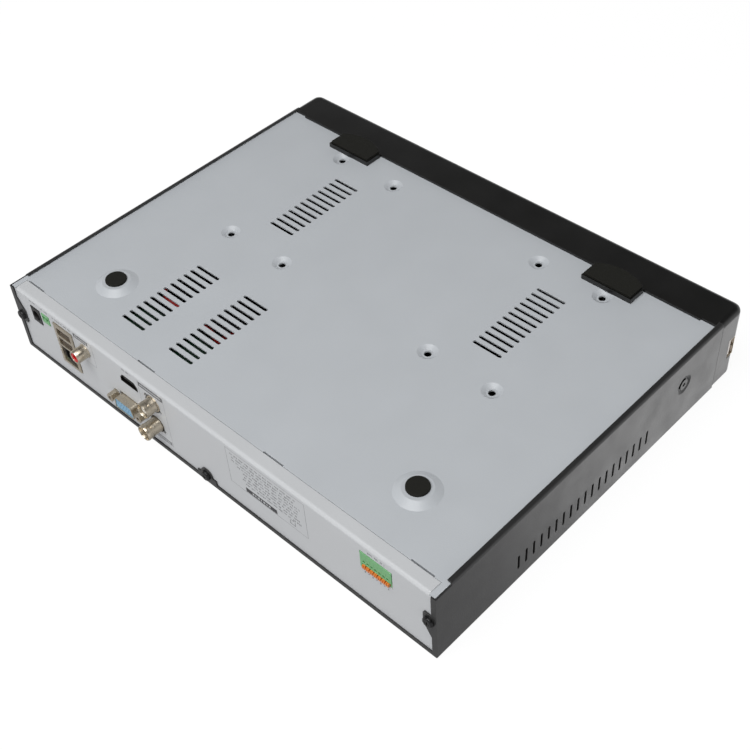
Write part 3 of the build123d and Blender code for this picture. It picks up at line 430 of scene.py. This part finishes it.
bm = bmesh.new()
for up in BNC_UPS:
    add_ring(bm, at(BNC_X, 0, up), REARWARD,
             [(2.4, 1.05), (2.4, 5.7), (2.15, 6.0), (1.05, 6.0), (0.95, 5.8), (0.95, 1.05)], 48)
cores = finish_piece("bnc_dielectric", bm, FINISH["insulator_white"])
bm = bmesh.new()
for up in BNC_UPS:
    socket = [
        (0.68, 1.05), (0.68, 5.0), (0.5, 5.35), (0.34, 5.35), (0.3, 2.5), (0.02, 2.5), (0.02, 1.05),
    ]
    add_ring(bm, at(BNC_X, 0, up), REARWARD, socket, 32)
contacts = finish_piece("bnc_contacts", bm, FINISH["contact_metal"])
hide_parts("bnc_cores")
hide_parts("bnc_cores")

PHONO = at(-98.0, 0, 11.8)
bm = bmesh.new()
add_ring(bm, PHONO, REARWARD,
         [(4.5, -1.5), (4.5, 0.2), (4.15, 0.3), (4.15, 7.2), (3.95, 7.55), (3.3, 7.55), (3.15, 7.4),
          (3.15, -1.5)], 64)
phono = finish_piece("phono_barrel", bm, FINISH["connector_nickel"])
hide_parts("rca_shell")
bm = bmesh.new()
add_ring(bm, PHONO, REARWARD,
         [(3.1, -0.9), (3.1, 7.15), (2.95, 7.3), (1.8, 7.3), (1.6, 7.1), (1.6, -0.9)], 48)
phono_core = finish_piece("phono_insulator", bm, FINISH["insulator_red"])
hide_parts("rca_insulator")
bm = bmesh.new()
add_ring(bm, PHONO, REARWARD, [(1.62, -0.8), (1.62, 2.2), (1.4, 2.4), (1.4, -0.8)], 32)
finish_piece("phono_contact", bm, FINISH["contact_metal"])

STACK_X, STACK_LOW, STACK_HIGH = -117.6, 6.6, 36.7
gold = []
for up in (STACK_LOW + 5.4, STACK_LOW + 12.6):
    for k in range(4):
        x = STACK_X - 3.5 + k * 2.333
        gold.append((x - 0.5, x + 0.5, 1.6, 11.0, up + 0.32, up + 0.46))
lan_up = STACK_HIGH - 7.6
for k in range(8):
    x = STACK_X - 3.57 + k * 1.02
    gold.append((x - 0.22, x + 0.22, 1.6, 9.0, lan_up + 3.0, lan_up + 3.35))
boxes("port_contacts", gold, FINISH["contact_metal"])
boxes("network_lamp_left", [(STACK_X - 6.2, STACK_X - 3.4, 0.25, 2.0, lan_up + 3.9, lan_up + 5.6)],
      LAMP_GREEN, bevel=0.1)
boxes("network_lamp_right", [(STACK_X + 3.4, STACK_X + 6.2, 0.25, 2.0, lan_up + 3.9, lan_up + 5.6)],
      LAMP_OLIVE, bevel=0.1)
tabs = []
for up in (STACK_LOW + 5.4, STACK_LOW + 12.6):
    for x in (STACK_X - 3.4, STACK_X + 3.4):
        tabs.append((x - 0.9, x + 0.9, -0.82, -0.6, up - 3.3, up - 2.9))
for side in (-1, 1):
    x = STACK_X + side * 7.5
    tabs.append((x - 0.5, x + 0.5, -0.85, -0.6, lan_up - 3.0, lan_up + 1.4))
boxes("port_spring_tabs", tabs, FINISH["connector_nickel"], bevel=0.08)

VIDEO_X, VIDEO_UP = -58.6, 10.9
video = []
for k in range(10):
    x = VIDEO_X - 4.5 + k * 1.0
    video.append((x - 0.2, x + 0.2, 1.2, 8.0, VIDEO_UP + 0.62, VIDEO_UP + 0.78))
    video.append((x - 0.2, x + 0.2, 1.2, 8.0, VIDEO_UP - 0.58, VIDEO_UP - 0.42))
boxes("video_contacts", video, FINISH["contact_metal"])

SIDE_PORT_IN, SIDE_PORT_UP = 245.7, 25.5
side_gold = []
for k in range(4):
    up = SIDE_PORT_UP - 3.5 + k * 2.333
    side_gold.append((151.6, 163.0, SIDE_PORT_IN - 0.32, SIDE_PORT_IN - 0.1, up - 0.5, up + 0.5))
boxes("side_port_contacts", side_gold, FINISH["contact_metal"])
side_tabs = [(157.5, 164.4, 248.02, 248.26, up - 1.9, up + 1.9) for up in (22.2, 28.8)]
boxes("side_port_spring_tabs", side_tabs, FINISH["tin_plate"], bevel=0.06)

wire_clamps = []
for index in range(WAYS):
    x = TERMINAL_X + (index - 3) * TERMINAL_PITCH
    wire_clamps.append((x - 0.5, x + 0.5, 4.6, 7.0, 13.0, 13.3))
boxes("terminal_clamps", wire_clamps, FINISH["contact_metal"])
ribs = []
for index in range(WAYS + 1):
    x = TERMINAL_X + (index - 3.5) * TERMINAL_PITCH
    ribs.append((x - 0.1, x + 0.1, -0.36, -0.2, 7.4, 11.6))
boxes("terminal_ribs", ribs, FINISH["terminal_green"], bevel=0.05)


# ---- front -------------------------------------------------------------------------
FACE = 250.8           # front face of the fascia, ahead of the rear face
LAMP_XS = (-104.0, -94.0, -84.0, -74.0)
FRONT_UP = 33.0        # height of the lamps and the power button
BUTTON_X = 134.0
front_marks = []
for x in LAMP_XS:
    front_marks.append((x - 1.6, x + 1.6, FACE, FACE + 0.03, 28.6, 28.9))
    front_marks.append((x - 1.0, x + 1.0, FACE, FACE + 0.03, 27.7, 28.0))
boxes("front_lamp_marks", front_marks, INK_LIGHT)
FORWARD = Vector((0, -1, 0))
dome = [(0.93, -0.1), (0.93, 0.06), (0.6, 0.22), (0.02, 0.28), (0.02, -0.1)]
bm = bmesh.new()
for x in LAMP_XS:
    add_ring(bm, at(x, FACE, FRONT_UP), FORWARD, dome, 24)
finish_piece("front_lamp_lenses", bm, LAMP_BLUE)

bm = bmesh.new()
recess = FACE + 0.45   # floor of the dish in the button's cap
mark_ring = [(1.9, 0.0), (1.9, 0.04), (1.6, 0.04), (1.6, 0.0)]
add_ring(bm, at(BUTTON_X, recess, FRONT_UP), FORWARD, mark_ring, 40)
add_box(bm, BUTTON_X - 0.16, BUTTON_X + 0.16, recess, FACE + 0.5, FRONT_UP + 0.6, FRONT_UP + 2.6)
finish_piece("power_mark", bm, INK_LIGHT, body="button")


# ---- studio ------------------------------------------------------------------------
def plane(name, z, facing, colour, glow):
    """Pale ground seen from one side only, so that it never hides the recorder."""
    mesh = bpy.data.meshes.new(name)
    s = 12.0
    corners = [(-s, -s, z), (s, -s, z), (s, s, z), (-s, s, z)]
    mesh.from_pydata(corners, [], [(0, 1, 2, 3) if facing > 0 else (3, 2, 1, 0)])
    obj = bpy.data.objects.new(name, mesh)
    bpy.context.scene.collection.objects.link(obj)
    m = bpy.data.materials.new(name)
    m.use_nodes = True
    n, link = m.node_tree.nodes, m.node_tree.links.new
    n.clear()
    out = n.new("ShaderNodeOutputMaterial")
    choose = n.new("ShaderNodeMixShader")
    add = n.new("ShaderNodeAddShader")
    paper = n.new("ShaderNodeBsdfDiffuse")
    paper.inputs["Color"].default_value = colour
    shine = n.new("ShaderNodeEmission")
    shine.inputs["Strength"].default_value = glow
    clear = n.new("ShaderNodeBsdfTransparent")
    face = n.new("ShaderNodeNewGeometry")
    link(paper.outputs["BSDF"], add.inputs[0])
    link(shine.outputs["Emission"], add.inputs[1])
    link(face.outputs["Backfacing"], choose.inputs["Fac"])
    link(add.outputs["Shader"], choose.inputs[1])
    link(clear.outputs["BSDF"], choose.inputs[2])
    link(choose.outputs["Shader"], out.inputs["Surface"])
    obj.data.materials.append(m)
    obj.visible_diffuse = False
    obj.visible_glossy = False
    obj.visible_transmission = False
    obj.visible_shadow = False


plane("floor", -0.0002, 1, (0.42, 0.42, 0.42, 1.0), 0.55)
plane("paper_sweep", cad_high.z + 0.0006, -1, (0.10, 0.10, 0.10, 1.0), 0.93)


def area(name, place, aim, size, power):
    data = bpy.data.lights.new(name, "AREA")
    data.shape = "RECTANGLE"
    data.size, data.size_y = size
    data.energy = power
    obj = bpy.data.objects.new(name, data)
    obj.location = place
    obj.rotation_mode = "QUATERNION"
    obj.rotation_quaternion = (Vector(aim) - Vector(place)).to_track_quat("-Z", "Y")
    bpy.context.scene.collection.objects.link(obj)


area("key_above", (-0.9, -0.9, 1.5), (0, 0, 0.02), (1.5, 1.0), 10)
area("side_panel", (0.50, -1.05, 1.10), (0.16, -0.05, 0.03), (1.1, 0.6), 2.3)
area("key_below", (0.10, 0.75, -1.6), (-0.03, 0, 0.02), (1.5, 1.1), 30)

# A dark room under the horizon, a pale band around it and a soft ceiling.
world = bpy.data.worlds.new("studio")
world.use_nodes = True
wn, wlink = world.node_tree.nodes, world.node_tree.links.new
direction = wn.new("ShaderNodeTexCoord")
split = wn.new("ShaderNodeSeparateXYZ")
height = wn.new("ShaderNodeMapRange")
height.inputs["From Min"].default_value = -1.0
shade = wn.new("ShaderNodeValToRGB")
stops = ((0.0, 0.08), (0.25, 0.08), (0.40, 0.86), (0.70, 0.90), (0.80, 0.42), (1.0, 0.42))
ramp = shade.color_ramp.elements
ramp[0].position, ramp[1].position = stops[0][0], stops[-1][0]
for place, _ in stops[1:-1]:
    ramp.new(place)
for element, (_, level) in zip(ramp, stops):
    element.color = (level, level, level * 1.01, 1.0)
wlink(direction.outputs["Generated"], split.inputs["Vector"])
wlink(split.outputs["Z"], height.inputs["Value"])
wlink(height.outputs["Result"], shade.inputs["Fac"])
wlink(shade.outputs["Color"], wn["Background"].inputs["Color"])
bpy.context.scene.world = world
bpy.context.scene.view_settings.view_transform = "Standard"

camera = bpy.data.objects.new("camera", bpy.data.cameras.new("camera"))
camera.data.sensor_width = 36.0
camera.data.lens = 59.52
camera.data.clip_start = 0.01
camera.data.clip_end = 60.0
right = Vector((0.72473, -0.68697, 0.05328))
up = Vector((-0.46372, -0.54347, -0.69971))
back = Vector((0.50964, 0.48239, -0.71243))
turn = Matrix((right, up, back)).transposed().to_4x4()
camera.matrix_world = Matrix.Translation((0.37994, 0.35214, -0.46058)) @ turn
bpy.context.scene.collection.objects.link(camera)
bpy.context.scene.camera = camera
